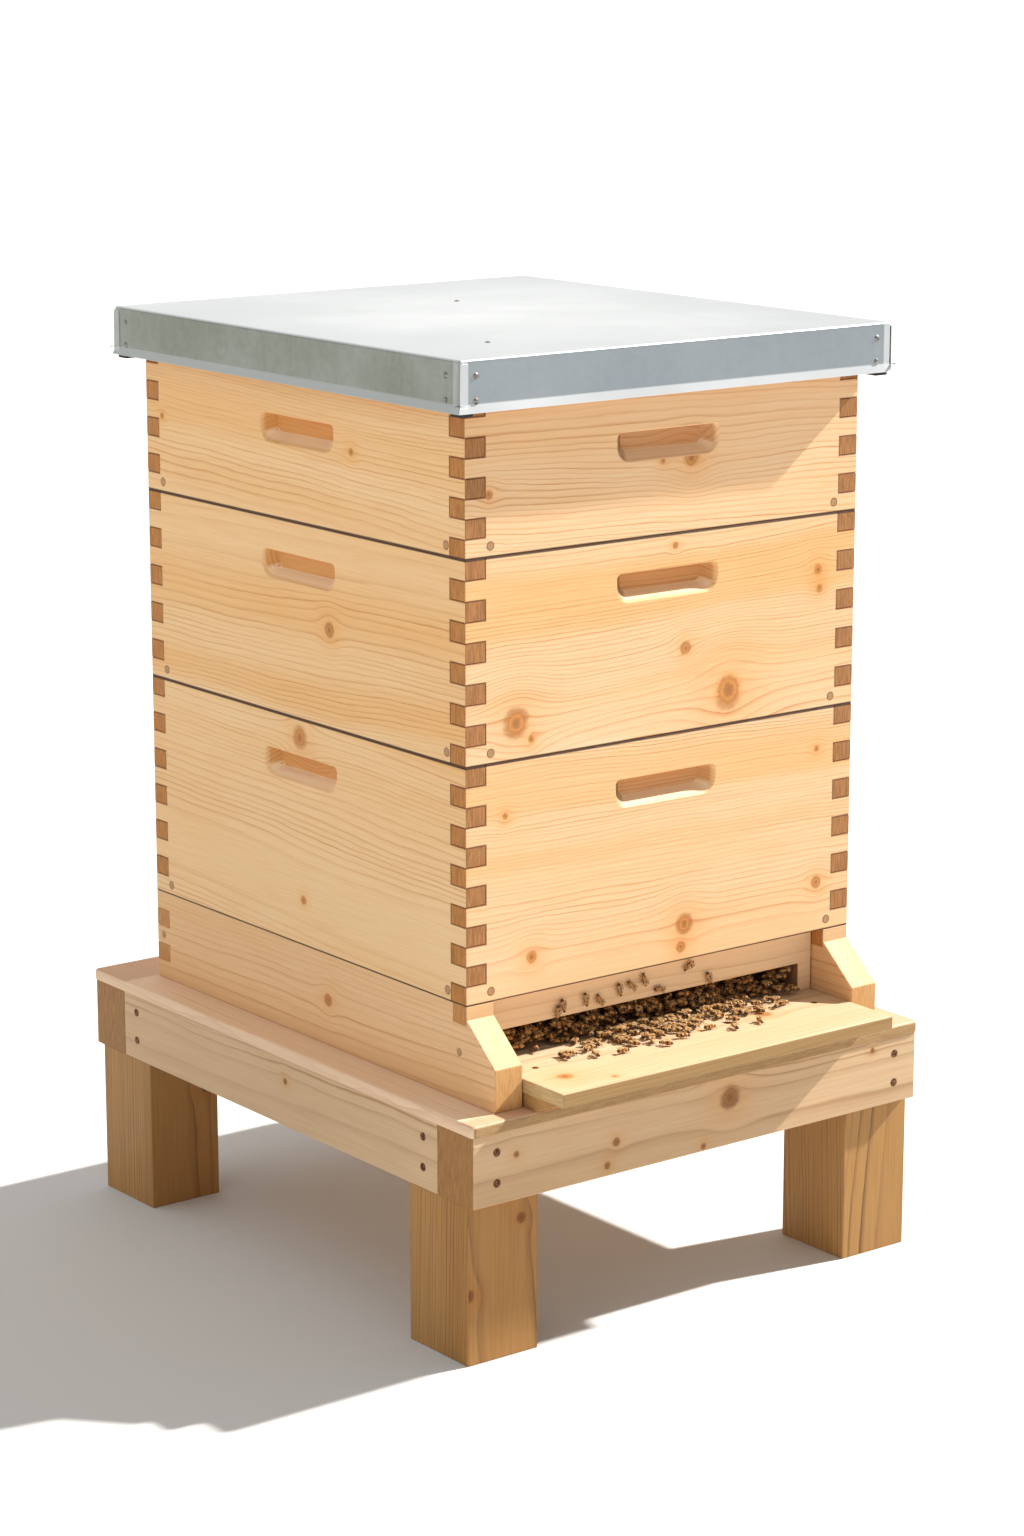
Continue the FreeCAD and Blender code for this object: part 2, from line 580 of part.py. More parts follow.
def outer_cover():
    rim_bottom = SKIRT_BOTTOM + RIM_SET_UP
    front = block(-COVER_X, COVER_X, -COVER_Y, -COVER_IN_Y, rim_bottom, INNER_TOP)
    left = block(-COVER_X, -COVER_IN_X, -COVER_IN_Y, COVER_IN_Y, rim_bottom, INNER_TOP)
    nails = cover_nails()
    plank = 2 * COVER_Y / COVER_PLANKS
    planks = [block(-COVER_X, COVER_X, -COVER_Y + index * plank, -COVER_Y + (index + 1) * plank,
                    INNER_TOP, COVER_TOP - SHEET) for index in range(COVER_PLANKS)]
    pad_x = -COVER_X + PAD_INSET
    pad_y = -COVER_Y + PAD_INSET
    pad = block(pad_x, pad_x + PAD_SIDE, pad_y, pad_y + PAD_SIDE, rim_bottom - PAD_HEIGHT, rim_bottom)
    return {
        "cover_end_rims": [drilled(front, nails), drilled(flip_y(front), nails)],
        "cover_side_rims": [drilled(left, nails), drilled(flip_x(left), nails)],
        "cover_planks": [drilled(item, nails) for item in planks],
        "cover_sheet": drilled(cover_sheet(), nails),
        "cover_nails": nails,
        "cover_pads": four_corners(pad),
    }


def save(node, shapes):
    """Write one node, as one solid or a group of separate solids, in the part's own frame."""
    solids = []
    for shape in shapes if isinstance(shapes, list) else [shapes]:
        solids += shape.Solids
    whole = solids[0] if len(solids) == 1 else Part.makeCompound(solids)
    whole = whole.translated(ORIGIN_SHIFT)
    if not whole.isValid():
        raise ValueError(node + " is not a valid shape")
    whole.exportStep(os.path.join("parts", node + ".step"))
    print(node, len(solids), "solids, volume", round(whole.Volume / 1000.0, 1), "cm3")


os.makedirs("parts", exist_ok=True)
NODES = {}
NODES.update(stand())
NODES.update(floor_and_entrance())
NODES.update(hive_box("lower", BASE_TOP, LOWER_HEIGHT, LOWER_FINGERS, LOWER_HOLD_DROP))
NODES.update(hive_box("middle", LOWER_TOP, MIDDLE_HEIGHT, MIDDLE_FINGERS, MIDDLE_HOLD_DROP))
NODES.update(hive_box("super", MIDDLE_TOP, SUPER_HEIGHT, SUPER_FINGERS, SUPER_HOLD_DROP))
NODES.update(box_frames("lower", BASE_TOP, LOWER_TOP))
NODES.update(box_frames("middle", LOWER_TOP, MIDDLE_TOP))
NODES.update(box_frames("super", MIDDLE_TOP, SUPER_TOP))
NODES.update(inner_cover())
NODES.update(outer_cover())
for node_name, node_shapes in NODES.items():
    save(node_name, node_shapes)
print(len(NODES), "nodes")
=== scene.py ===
import math
import random

import bpy
from mathutils import Euler, Matrix, Vector


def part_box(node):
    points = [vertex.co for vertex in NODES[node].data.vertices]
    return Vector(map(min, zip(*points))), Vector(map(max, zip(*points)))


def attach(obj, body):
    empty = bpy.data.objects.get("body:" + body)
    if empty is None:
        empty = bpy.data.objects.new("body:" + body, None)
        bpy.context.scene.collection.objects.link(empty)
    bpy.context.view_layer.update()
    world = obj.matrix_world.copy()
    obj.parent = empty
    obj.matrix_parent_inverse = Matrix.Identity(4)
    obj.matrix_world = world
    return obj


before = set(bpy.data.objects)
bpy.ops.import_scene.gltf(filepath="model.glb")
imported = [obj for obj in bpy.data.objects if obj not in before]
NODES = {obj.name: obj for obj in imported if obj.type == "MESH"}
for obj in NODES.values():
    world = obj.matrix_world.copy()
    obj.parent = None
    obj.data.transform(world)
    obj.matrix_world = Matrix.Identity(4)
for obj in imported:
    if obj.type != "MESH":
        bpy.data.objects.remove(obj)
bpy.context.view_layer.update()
X, Y, Z = 0, 1, 2

# ---- Camera: the photograph's angle, kept as measured ----
CAMERA_PLACE = (-1.93473, -2.53246, 1.15316)
CAMERA_TURN = -37.44      # degrees about Z, from looking along +Y
CAMERA_DOWN = 13.04       # degrees below level
SENSOR = 36.0
LENS = 131.73

SEED_STEP = 7.3           # between the axes of a noise, so that they do not repeat each other


class Graph:
    """Short calls for building a material's nodes."""

    def __init__(self, tree):
        self.tree = tree

    def feed(self, socket, value):
        if isinstance(value, bpy.types.NodeSocket):
            self.tree.links.new(value, socket)
        else:
            socket.default_value = value

    def node(self, kind, inputs=None, **settings):
        made = self.tree.nodes.new(kind)
        for key, value in settings.items():
            setattr(made, key, value)
        for key, value in (inputs or {}).items():
            self.feed(made.inputs[key], value)
        return made

    def math(self, operation, a, b=0.0, c=0.0):
        return self.node("ShaderNodeMath", {0: a, 1: b, 2: c}, operation=operation).outputs[0]

    def add(self, a, b):
        return self.math("ADD", a, b)

    def sub(self, a, b):
        return self.math("SUBTRACT", a, b)

    def mul(self, a, b):
        return self.math("MULTIPLY", a, b)

    def size(self, value):
        return self.math("ABSOLUTE", value)

    def most(self, a, b):
        return self.math("MAXIMUM", a, b)

    def flip(self, value):
        """1 where the value is 0, and 0 where it is 1."""
        return self.sub(1.0, value)

    def fall(self, distance):
        """A bell: 1 at distance 0, near 0 at distance 2."""
        return self.math("EXPONENT", self.mul(self.mul(distance, distance), -1.0))

    def step(self, value, low, high):
        """A smooth step from 0 at low to 1 at high."""
        inputs = {"Value": value, "From Min": low, "From Max": high}
        return self.node("ShaderNodeMapRange", inputs, interpolation_type="SMOOTHSTEP").outputs[0]

    def point(self, x, y, z):
        return self.node("ShaderNodeCombineXYZ", {0: x, 1: y, 2: z}).outputs[0]

    def parts(self, vector):
        return self.node("ShaderNodeSeparateXYZ", {0: vector}).outputs

    def noise(self, vector, scale=1.0, detail=2.0, rough=0.5):
        inputs = {"Vector": vector, "Scale": scale, "Detail": detail, "Roughness": rough}
        return self.node("ShaderNodeTexNoise", inputs).outputs[0]

    def noise_line(self, value, scale):
        inputs = {"W": value, "Scale": scale, "Detail": 1.0}
        return self.node("ShaderNodeTexNoise", inputs, noise_dimensions="1D").outputs[0]

    def stretched(self, axes, scales, seed):
        """The point, scaled along each axis and moved by a seed, for a noise."""
        return self.point(*(self.add(self.mul(axis, scale), seed + index * SEED_STEP)
                            for index, (axis, scale) in enumerate(zip(axes, scales))))

    def mix(self, factor, a, b, blend="MIX"):
        made = self.node("ShaderNodeMix", data_type="RGBA", blend_type=blend)
        self.feed(made.inputs[0], factor)
        for index, value in ((6, a), (7, b)):    # the colour sockets of a Mix node
            linked = isinstance(value, bpy.types.NodeSocket)
            self.feed(made.inputs[index], value if linked else (*value, 1.0))
        return made.outputs[2]

    def ramp(self, factor, stops):
        """A grey ramp through (position, value) stops."""
        made = self.node("ShaderNodeValToRGB", {0: factor})
        elements = made.color_ramp.elements
        while len(elements) < len(stops):
            elements.new(0.5)
        for element, (place, value) in zip(elements, stops):
            element.position = place
            element.color = (value, value, value, 1.0)
        return made.outputs[0]


def new_material(name):
    """An empty node material and its Principled shader."""
    material = bpy.data.materials.new(name)
    material.use_nodes = True
    return material, Graph(material.node_tree), material.node_tree.nodes["Principled BSDF"]


# ---- Wood ----
# Each tone: early wood, late wood, warm streaks, end grain light and dark, all linear colour.
TONES = {
    "box_side": dict(light=(0.83, 0.585, 0.325), late=(0.60, 0.27, 0.074), warm=(0.79, 0.455, 0.172),
                     end=(0.46, 0.212, 0.074), end_late=(0.25, 0.100, 0.030)),
    "box_front": dict(light=(0.89, 0.63, 0.390), late=(0.61, 0.262, 0.076), warm=(0.87, 0.515, 0.22),
                      end=(0.52, 0.22, 0.048), end_late=(0.28, 0.105, 0.021)),
    "base": dict(light=(0.78, 0.52, 0.285), late=(0.58, 0.31, 0.135), warm=(0.74, 0.435, 0.20),
                 end=(0.55, 0.26, 0.080), end_late=(0.38, 0.165, 0.045)),
    "strip": dict(light=(0.94, 0.72, 0.48), late=(0.76, 0.50, 0.28), warm=(0.88, 0.63, 0.38),
                  end=(0.42, 0.24, 0.12), end_late=(0.28, 0.15, 0.07)),
    "landing": dict(light=(0.625, 0.48, 0.31), late=(0.49, 0.31, 0.155), warm=(0.58, 0.41, 0.235),
                    end=(0.60, 0.43, 0.22), end_late=(0.44, 0.28, 0.12)),
    "bearer": dict(light=(0.56, 0.33, 0.14), late=(0.40, 0.21, 0.08), warm=(0.52, 0.29, 0.11),
                   end=(0.50, 0.28, 0.10), end_late=(0.34, 0.18, 0.06)),
    "rail": dict(light=(0.67, 0.47, 0.28), late=(0.40, 0.225, 0.10), warm=(0.62, 0.41, 0.22),
                 end=(0.40, 0.20, 0.065), end_late=(0.25, 0.115, 0.033)),
    "deck": dict(light=(0.86, 0.64, 0.45), late=(0.68, 0.45, 0.285), warm=(0.80, 0.57, 0.38),
                 end=(0.45, 0.285, 0.130), end_late=(0.32, 0.185, 0.072)),
    "leg": dict(light=(0.48, 0.262, 0.088), late=(0.20, 0.090, 0.024), warm=(0.385, 0.188, 0.052),
                end=(0.30, 0.16, 0.06), end_late=(0.18, 0.09, 0.03)),
    "frame": dict(light=(0.78, 0.58, 0.36), late=(0.60, 0.38, 0.18), warm=(0.72, 0.50, 0.27),
                  end=(0.50, 0.33, 0.17), end_late=(0.36, 0.22, 0.11)),
    "cover": dict(light=(0.60, 0.42, 0.25), late=(0.44, 0.28, 0.14), warm=(0.54, 0.36, 0.19),
                  end=(0.38, 0.24, 0.13), end_late=(0.26, 0.15, 0.08)),
}
TONES["cheek"] = dict(TONES["base"], end=(0.72, 0.41, 0.165), end_late=(0.56, 0.29, 0.10))
KNOT_CORE = (0.21, 0.058, 0.012)
KNOT_HEART = (0.40, 0.135, 0.026)
KNOT_WARM = (0.76, 0.31, 0.062)
KNOT_RIM = (0.26, 0.080, 0.016)
KNOT_GLOW = (0.97, 0.72, 0.42)
# Propolis dirt and painted shade in the joint between two boxes.
SEAM_DIRT_AND_SHADE = (0.030, 0.012, 0.005)
HOLD_DIRT_AND_SHADE = {X: (0.70, 0.55, 0.42), Y: (0.80, 0.56, 0.29)}    # handling dirt and painted shade in the hand holds, by the axis of the board's grain
SILL_HIGHLIGHT = (0.93, 0.70, 0.46)         # painted highlight on the hold's sloping sill
FRONT_EDGE_SHADE = (0.64, 0.53, 0.34)    # the landing board's front, darkened with painted shade
SUNNY_SIDE_SHADE = (0.52, 0.49, 0.44)    # every face turned to the sun (+X), darkened with painted shade
SUNNY_TOP_SHADE = (0.76, 0.65, 0.58)     # the deck's sunlit open strips, darkened with painted shade
GROOVE = (0.42, 0.28, 0.18)        # the fine shadow round every finger
SKIRT_SHADE = (0.84, 0.66, 0.42)         # the wood just under the outer cover's skirt, darkened with painted shade

# Darkness across one ring, as (position, value).
LATE_WOOD = ((0.0, 0.0), (0.60, 0.03), (0.83, 0.55), (0.92, 1.0), (0.965, 0.12), (1.0, 0.0))
WANDER, RIPPLE, JITTER = 0.030, 0.0040, 0.0013    # how far rings stray: slowly, finely, one by one
RINGS_PER_PITCH = 1.25
RING_DRIFT = 3.6                   # rings won or lost where growth was uneven
KNOT_REACH = 3.0                   # radii over which the grain bends round a knot
KNOT_BEND = 0.80
SIDE_ON = 0.3                      # metres added on faces that a knot does not run through
# Two lengths each, in metres: a mark fades in or out between them.
HOLD_ALONG = (0.054, 0.057)        # from the hold's middle
HOLD_UP = (0.015, 0.018)
HOLD_IN = (0.0008, 0.0040)         # behind the board's face
CORNER = (0.003, 0.002)            # from the board's end
SEAM = (0.0009, 0.0020)            # from the edge where two boxes meet
# Depth of the band of painted shade under the cover's skirt.
SKIRT_SHADE_DEPTH = 0.040
BARE_SIDE = (0.17, 0.20)           # the deck's open strips, from the origin
BARE_ENDS = (0.246, 0.256)


def hold_marks(g, colour, hold, along, axes, facing):
    """A hand hold's recess darkened with painted shade and handling dirt, except on its sill, which gets a
    painted highlight, and painted shadows round the fingers.

    hold is (middle along the board, face, inward sign, middle up, half of the board's length).
    """
    middle_u, face, inward, middle_v, half_length = hold
    u, v, w = axes
    from_middle = g.size(g.sub(u, middle_u))
    flat = g.most(g.most(g.size(facing[X]), g.size(facing[Y])), g.size(facing[Z]))
    eased = g.flip(g.step(flat, 0.93, 0.985))
    level_edge = g.step(g.size(facing[Z]), 0.2, 0.4)
    off_corner = g.flip(g.step(from_middle, half_length - CORNER[0], half_length - CORNER[1]))
    near = g.mul(g.flip(g.step(from_middle, *HOLD_ALONG)),
                 g.flip(g.step(g.size(g.sub(v, middle_v)), *HOLD_UP)))
    sill = g.step(facing[Z], 0.2, 0.5)
    recess = g.mul(g.step(g.mul(g.sub(w, face), inward), *HOLD_IN), near)
    # Painted shade and handling dirt in the hold's recess, left off its sunlit sill.
    dirt_and_shade = g.mul(recess, g.flip(g.mul(sill, 0.85)))
    colour = g.mix(g.mul(dirt_and_shade, 0.90), colour, HOLD_DIRT_AND_SHADE[along], "MULTIPLY")
    # A painted highlight on the hold's sunlit sill.
    colour = g.mix(g.mul(g.mul(recess, sill), 0.65), colour, SILL_HIGHLIGHT)
    # Painted shadow in the eased grooves round the fingers, except in the hold.
    joint = g.mul(g.mul(eased, g.most(level_edge, off_corner)), g.flip(near))
    return g.mix(g.mul(joint, 0.85), colour, GROOVE, "MULTIPLY")


def knot_marks(g, colour, far, grain, patch, tinted):
    """One knot: a warm glow, swirled heartwood and a broken rim. far is in radii from its middle."""
    rough_far = g.add(far, g.mul(g.sub(grain, 0.5), 0.45))
    colour = g.mix(g.mul(g.fall(g.mul(far, 0.36)), 0.50), colour, KNOT_GLOW, "MULTIPLY")
    swirl = g.step(g.math("SINE", g.mul(rough_far, 11.0)), -0.6, 1.0)
    heartwood = g.mix(g.step(rough_far, 0.0, 0.75), tinted(KNOT_CORE), tinted(KNOT_WARM))
    heartwood = g.mix(g.mul(swirl, 0.7), heartwood, tinted(KNOT_HEART))
    core = g.flip(g.step(rough_far, 0.60, 1.25))
    colour = g.mix(g.mul(core, 0.86), colour, heartwood)
    rim = g.mul(g.fall(g.mul(g.sub(rough_far, 0.95), 4.0)), g.step(patch, 0.1, 0.8))
    return g.mix(g.mul(rim, 0.50), colour, tinted(KNOT_RIM))


def pine(name, tone, along, across, seed, heart, pitch, slope, knots, seams=(), hold=None, stain=0.0,
         contrast=1.0, shade_front_edge=False, shade_open_deck=False):
    """Sawn softwood cut from a round log.

    along and across are the axes of the grain and of the board's wide face. heart is the log's
    centre, measured across the face and into the board. knots are (along, across, radius), and
    one that shows on the narrow faces also names the axis it runs through. seams are the heights
    where a box meets its neighbours, where propolis dirt and painted shade darken the wood, and
    stain is the height of the outer cover's skirt, below which a band of painted shade darkens the wood.
    The landing board's front, the deck's sunlit strips and every face turned to the sun get painted shade.
    """
    material, g, shader = new_material(name)
    look = TONES[tone]
    shades = list(zip(look["light"], TONES["box_front"]["light"]))

    def tinted(colour):
        return tuple(c * own / box / contrast ** 2 for c, (own, box) in zip(colour, shades))

    coordinates = g.node("ShaderNodeTexCoord")
    place = g.parts(coordinates.outputs["Object"])
    facing = g.parts(coordinates.outputs["Normal"])
    deep = X + Y + Z - along - across
    axes = u, v, w = place[along], place[across], place[deep]

    # How far a point is from the log's middle, with knots pushing the grain aside.
    wander = g.sub(g.noise(g.stretched(axes, (2.3, 7.0, 7.0), seed)), 0.5)
    ripple = g.sub(g.noise(g.stretched(axes, (13.0, 42.0, 42.0), seed + 3)), 0.5)
    level = g.add(v, g.add(g.mul(wander, WANDER), g.mul(ripple, RIPPLE)))
    knot_fields = []
    for knot_u, knot_v, radius, *axis in knots:
        through = axis[0] if axis else deep
        side = across if through == deep else deep
        du = g.sub(u, knot_u)
        dv = g.sub(place[side], knot_v)
        away = g.mul(g.flip(g.size(facing[through])), SIDE_ON)
        far = g.add(away, g.math("SQRT", g.add(g.mul(du, du), g.mul(dv, dv))))
        pull = g.fall(g.mul(far, 1 / (KNOT_REACH * radius)))
        level = g.sub(level, g.mul(g.mul(dv, pull), KNOT_BEND))
        knot_fields.append(g.mul(far, 1 / radius))
    across_log = g.sub(g.add(level, g.mul(u, slope)), heart[0])
    into_log = g.sub(w, heart[1])
    jitter = g.sub(g.noise(g.stretched(axes, (45.0, 260.0, 260.0), seed + 8)), 0.5)
    ring = g.math("SQRT", g.add(g.mul(across_log, across_log), g.mul(into_log, into_log)))
    steep = g.math("DIVIDE", g.size(across_log), ring)
    ring = g.add(ring, g.mul(g.mul(jitter, steep), JITTER))

    # Year rings, wide warm bands and fine fibre.
    uneven = g.noise_line(g.add(ring, seed), 34.0)
    count = g.add(g.mul(ring, RINGS_PER_PITCH / pitch), g.mul(uneven, RING_DRIFT))
    late = g.ramp(g.math("FRACT", count), LATE_WOOD)
    chosen = g.step(g.noise_line(g.add(g.math("FLOOR", count), seed), 0.83), 0.30, 0.66)
    patch = g.step(g.noise(g.stretched(axes, (3.6, 20.0, 20.0), seed + 5)), 0.34, 0.66)
    fibre = g.noise(g.stretched(axes, (16.0, 620.0, 620.0), seed + 9), detail=3.0, rough=0.62)
    band = g.step(g.noise_line(g.add(ring, seed + 2.0), 21.0), 0.42, 0.70)
    cloud = g.step(g.noise(g.stretched(axes, (2.2, 9.0, 9.0), seed + 13)), 0.35, 0.70)
    colour = g.mix(g.add(g.mul(band, 0.54), g.mul(cloud, 0.35)), look["light"], look["warm"])
    strength = g.mul(late, g.mul(g.add(g.mul(patch, 0.62), 0.50), g.add(g.mul(chosen, 0.70), 0.30)))
    colour = g.mix(g.mul(strength, contrast), colour, look["late"])
    streak = g.mul(g.step(fibre, 0.30, 0.75), 0.22)
    colour = g.mix(streak, colour, look["warm"], "MULTIPLY")

    # End grain, then knots, dirt, and painted shade and highlights.
    lines = g.noise(g.stretched(axes, (900.0, 70.0, 900.0), seed + 15), detail=2.0, rough=0.7)
    end_colour = g.mix(g.mul(late, 0.30), look["end"], look["end_late"])
    end_colour = g.mix(g.mul(g.step(lines, 0.36, 0.66), 0.75), end_colour, look["end_late"])
    colour = g.mix(g.step(g.size(facing[along]), 0.70, 0.95), colour, end_colour)
    # Painted shade on the landing board's front edge.
    if shade_front_edge:
        colour = g.mix(g.step(facing[Y], -0.6, -0.9), colour, FRONT_EDGE_SHADE, "MULTIPLY")
    # Painted shade on the deck's sunlit open strips.
    if shade_open_deck:
        sunlit_strip = g.most(g.step(g.size(place[Y]), *BARE_ENDS), g.step(place[X], *BARE_SIDE))
        colour = g.mix(g.mul(sunlit_strip, g.step(facing[Z], 0.5, 0.9)), colour, SUNNY_TOP_SHADE, "MULTIPLY")
    # A band of painted shade under the outer cover's skirt.
    if stain:
        skirt_shade_mask = g.mul(g.step(place[Z], stain - SKIRT_SHADE_DEPTH, stain), g.add(g.mul(cloud, 0.4), 0.6))
        colour = g.mix(g.mul(skirt_shade_mask, 0.60), colour, SKIRT_SHADE, "MULTIPLY")
    if hold:
        colour = hold_marks(g, colour, hold, along, axes, facing)
    knot_grain = g.noise(g.stretched(axes, (210.0, 400.0, 400.0), seed + 6), detail=3.0)
    for far in knot_fields:
        colour = knot_marks(g, colour, far, knot_grain, patch, tinted)
    # Painted shade on every face turned to the sun.
    colour = g.mix(g.step(facing[X], 0.05, 0.45), colour, SUNNY_SIDE_SHADE, "MULTIPLY")
    # Propolis dirt and painted shade along the joints between boxes, on upright faces.
    for seam in seams:
        near = g.flip(g.step(g.size(g.sub(place[Z], seam)), *SEAM))
        upright = g.flip(g.step(g.size(facing[Z]), 0.80, 0.97))
        colour = g.mix(g.mul(g.mul(near, upright), 0.92), colour, SEAM_DIRT_AND_SHADE)

    g.feed(shader.inputs["Base Color"], colour)
    g.feed(shader.inputs["Roughness"], g.add(g.mul(late, -0.10), g.add(g.mul(fibre, 0.18), 0.54)))
    shader.inputs["Specular IOR Level"].default_value = 0.32
    height = g.add(g.mul(late, 0.5), g.mul(fibre, 0.5))
    bump = g.node("ShaderNodeBump", {"Height": height, "Strength": 0.22, "Distance": 0.0006})
    g.feed(shader.inputs["Normal"], bump.outputs[0])
    return material


# ---- Metal, rubber, wax ----
# Painted light: the top, front skirt and side skirt are lit and shaded copies of one zinc colour; the side
# skirt is also darker and greener as painted reflection.
SHEET_TOP = (0.55, 0.57, 0.58)
# Painted highlight on the turned-out hem.
HEM_BRIGHT = (0.80, 0.83, 0.85)
SKIRT_FRONT = (0.27, 0.31, 0.35)
SKIRT_SIDE = (0.17, 0.185, 0.145)
# Light spangle patches, and the painted highlight on the side hems.
SKIRT_BRIGHT = (0.42, 0.45, 0.45)
# A painted highlight in the middle of the top.
TOP_SHINE = (0.70, 0.72, 0.73)
SHINE_REACH = (0.17, 0.19)      # from the top's middle, along X and Y
SKIRT_HEM = 0.7745              # the top of the turned-out hem, above the ground
HEM_FADE = (0.0012, -0.0004)    # round that height
LAP = 0.0095                    # folded lap beside each corner, hem flare included, given a painted highlight
LAP_EDGE = 0.0005


def galvanised(name):
    """Zinc-coated sheet: soft cloudy spangle and faint rolling marks, with painted light: the top lighter
    than the skirt, a painted highlight in the top's middle, painted highlights on the hem and laps, and the
    side skirt darker and greener as painted reflection.
    """
    material, g, shader = new_material(name)
    coordinates = g.node("ShaderNodeTexCoord")
    place = coordinates.outputs["Object"]
    facing = g.parts(coordinates.outputs["Normal"])
    axes = g.parts(place)
    cloud = g.noise(place, scale=9.0, detail=4.0, rough=0.6)
    brushed = g.noise(g.stretched(axes, (210.0, 210.0, 4.0), 2.0), detail=3.0)
    spangle = g.node("ShaderNodeTexVoronoi", {"Vector": place, "Scale": 190.0}).outputs["Color"]
    grains = g.parts(spangle)[0]
    tone = g.add(g.mul(g.step(cloud, 0.3, 0.7), 0.50), g.add(g.mul(brushed, 0.18), g.mul(grains, 0.15)))
    # Lit and shaded copies of the skirt colour, chosen by which way it faces.
    sideways = g.step(g.size(facing[X]), 0.4, 0.8)
    sides = g.mix(sideways, SKIRT_FRONT, SKIRT_SIDE)
    skirt = g.mix(g.mul(tone, 0.55), sides, SKIRT_BRIGHT)
    hem = g.step(axes[Z], *(SKIRT_HEM + fade for fade in HEM_FADE))
    # Painted highlights on the hem and the laps.
    lit_hem = g.mix(sideways, HEM_BRIGHT, SKIRT_BRIGHT)
    low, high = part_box("cover_sheet")
    half = (high - low) / 2
    off = [g.size(g.sub(axes[axis], (low[axis] + high[axis]) / 2)) for axis in (X, Y)]
    lap = g.mul(*(g.step(off[axis], half[axis] - LAP - LAP_EDGE, half[axis] - LAP) for axis in (X, Y)))
    skirt = g.mix(g.mul(lap, 0.55), skirt, lit_hem)
    skirt = g.mix(g.mul(hem, 0.85), skirt, lit_hem)
    # A painted highlight in the top's middle, on the lit top colour.
    shine = g.mul(*(g.fall(g.mul(off[axis], 1 / SHINE_REACH[axis])) for axis in (X, Y)))
    top = g.mix(g.mul(g.flip(tone), 0.30), g.mix(shine, SHEET_TOP, TOP_SHINE), SKIRT_BRIGHT)
    g.feed(shader.inputs["Base Color"], g.mix(g.step(facing[Z], 0.3, 0.7), skirt, top))
    g.feed(shader.inputs["Roughness"], g.add(0.40, g.mul(g.sub(cloud, 0.5), 0.16)))
    shader.inputs["Metallic"].default_value = 0.65
    height = g.add(g.mul(cloud, 0.8), g.mul(grains, 0.05))
    bump = g.node("ShaderNodeBump", {"Height": height, "Strength": 0.10, "Distance": 0.002})
    g.feed(shader.inputs["Normal"], bump.outputs[0])
    return material


def worn_metal(name, base, stain, rough):
    """Small dull fasteners with a little staining."""
    material, g, shader = new_material(name)
    place = g.node("ShaderNodeTexCoord").outputs["Object"]
    blot = g.step(g.noise(place, scale=420.0, detail=3.0), 0.35, 0.65)
    g.feed(shader.inputs["Base Color"], g.mix(blot, base, stain))
    g.feed(shader.inputs["Roughness"], g.add(rough, g.mul(blot, 0.25)))
    shader.inputs["Metallic"].default_value = 0.75
    return material


def rubber(name):
    """Matt black rubber with a fine grain."""
    material, g, shader = new_material(name)
    place = g.node("ShaderNodeTexCoord").outputs["Object"]
    grain = g.noise(place, scale=900.0, detail=2.0)
    g.feed(shader.inputs["Base Color"], g.mix(grain, (0.010, 0.010, 0.011), (0.030, 0.029, 0.028)))
    shader.inputs["Roughness"].default_value = 0.75
    return material


def plug_wood(name):
    """Round plugs that show mottled end grain."""
    material, g, shader = new_material(name)
    place = g.node("ShaderNodeTexCoord").outputs["Object"]
    grain = g.noise(place, scale=700.0, detail=3.0)
    g.feed(shader.inputs["Base Color"], g.mix(grain, (0.30, 0.16, 0.07), (0.55, 0.33, 0.16)))
    shader.inputs["Roughness"].default_value = 0.7
    return material


CELL = 0.0054             # a comb cell across its flats
CELL_WALL = (0.36, 0.47)  # where its wall rises, in cells from its middle
WAX_DARK, WAX_LIGHT, WAX_HOLLOW = (0.52, 0.29, 0.075), (0.68, 0.45, 0.17), (0.24, 0.105, 0.030)


def comb_wax(name):
    """Honeycomb: a hexagonal cell pattern on the two broad faces, capped here and there."""
    material, g, shader = new_material(name)
    coordinates = g.node("ShaderNodeTexCoord")
    vector = coordinates.outputs["Object"]
    place = g.parts(vector)
    facing = g.parts(coordinates.outputs["Normal"])
    rise = CELL * math.sqrt(3.0)

    def lattice(offset_y, offset_z):
        y = g.math("WRAP", g.add(place[Y], offset_y), CELL / 2, -CELL / 2)
        z = g.math("WRAP", g.add(place[Z], offset_z), rise / 2, -rise / 2)
        y, z = g.size(y), g.size(z)
        slanted = g.add(g.mul(y, 0.5), g.mul(z, math.sqrt(3.0) / 2))
        return g.most(y, slanted)

    from_centre = g.math("MINIMUM", lattice(0.0, 0.0), lattice(CELL / 2, rise / 2))
    wall = g.step(from_centre, *(CELL * part for part in CELL_WALL))
    broad = g.step(g.size(facing[X]), 0.8, 0.95)
    capped = g.step(g.noise(vector, scale=16.0, detail=5.0, rough=0.6), 0.40, 0.60)
    hollow = g.mul(g.mul(g.flip(wall), broad), g.flip(g.mul(capped, 0.75)))
    wax = g.mix(g.noise(vector, scale=60.0, detail=3.0), WAX_DARK, WAX_LIGHT)
    g.feed(shader.inputs["Base Color"], g.mix(hollow, wax, WAX_HOLLOW))
    shader.inputs["Roughness"].default_value = 0.48
    shader.inputs["Subsurface Weight"].default_value = 0.10
    shader.inputs["Subsurface Radius"].default_value = (0.006, 0.003, 0.001)
    bump = g.node("ShaderNodeBump", {"Height": g.flip(hollow), "Strength": 0.8, "Distance": 0.002})
    g.feed(shader.inputs["Normal"], bump.outputs[0])
    return material


EASE, EASE_FINE, EASE_SHEET = 0.0008, 0.0005, 0.0003    # bevels on boards, frames and folded sheet
WELD_GAP = 0.00001
FLAT_ANGLE = math.radians(1.5)
SHARP_ANGLE = math.radians(40)


def dress(node, material):
    """Give a CAD node its material on every slot."""
    slots = NODES[node].data.materials
    slots.clear()
    slots.append(material)


